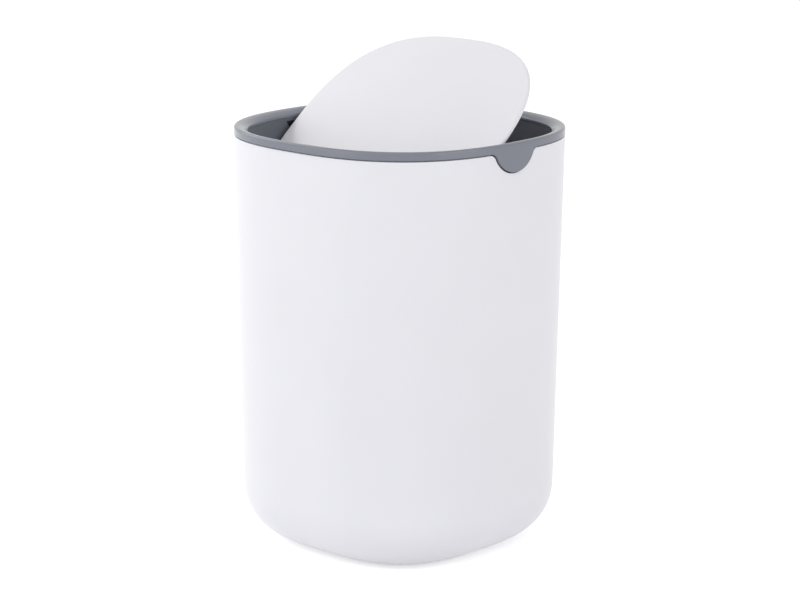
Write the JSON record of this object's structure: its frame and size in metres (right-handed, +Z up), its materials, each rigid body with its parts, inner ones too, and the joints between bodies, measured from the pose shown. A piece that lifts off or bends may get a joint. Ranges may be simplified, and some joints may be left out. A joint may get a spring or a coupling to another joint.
{
  "type": "countertop trash can",
  "caption": "Soft-square countertop trash can with a lift-off rim frame, a thumb tab and a weighted swing lid, drawn with the lid open.",
  "frame": {"origin": "on the rest plane, under the centre of the can", "axes": "+Z up; +X through the middle of the face with the thumb tab; the lid's axis lies along X; -Y is the side where the open lid dips into the can"},
  "size_m": [0.1446, 0.1446, 0.236],
  "materials": {
    "can_white": "smooth moulded white, soft gloss",
    "lid_white": "smooth moulded white, soft gloss",
    "carrier_white": "fine matt moulded white",
    "rim_grey": "satin moulded grey",
    "bearing_black": "matt black acetal",
    "pin_steel": "ground steel pin",
    "weight_steel": "zinc-plated bar",
    "screw_zinc": "zinc-plated",
    "foot_rubber": "matt non-slip"
  },
  "bodies": {
    "can": {"can_body": "can_white", "foot_front_left": "foot_rubber", "foot_front_right": "foot_rubber", "foot_back_left": "foot_rubber", "foot_back_right": "foot_rubber"},
    "frame": {"rim_frame": "rim_grey", "bearing_left": "bearing_black", "bearing_right": "bearing_black"},
    "lid": {"lid_panel": "lid_white", "lid_carrier": "carrier_white", "counterweight": "weight_steel", "weight_cover": "carrier_white", "pivot_pin_left": "pin_steel", "pivot_pin_right": "pin_steel", "panel_screws": "screw_zinc", "cover_screws": "screw_zinc"}
  },
  "joints": [
    {"name": "frame_lift", "type": "slide", "parent": "can", "child": "frame", "axis": [0, 0, 1], "range_m": [0, 0.08]},
    {"name": "lid_swing", "type": "hinge", "parent": "frame", "child": "lid", "pos_m": [0, 0, 0.1893], "axis": [1, 0, 0], "continuous": true}
  ]
}
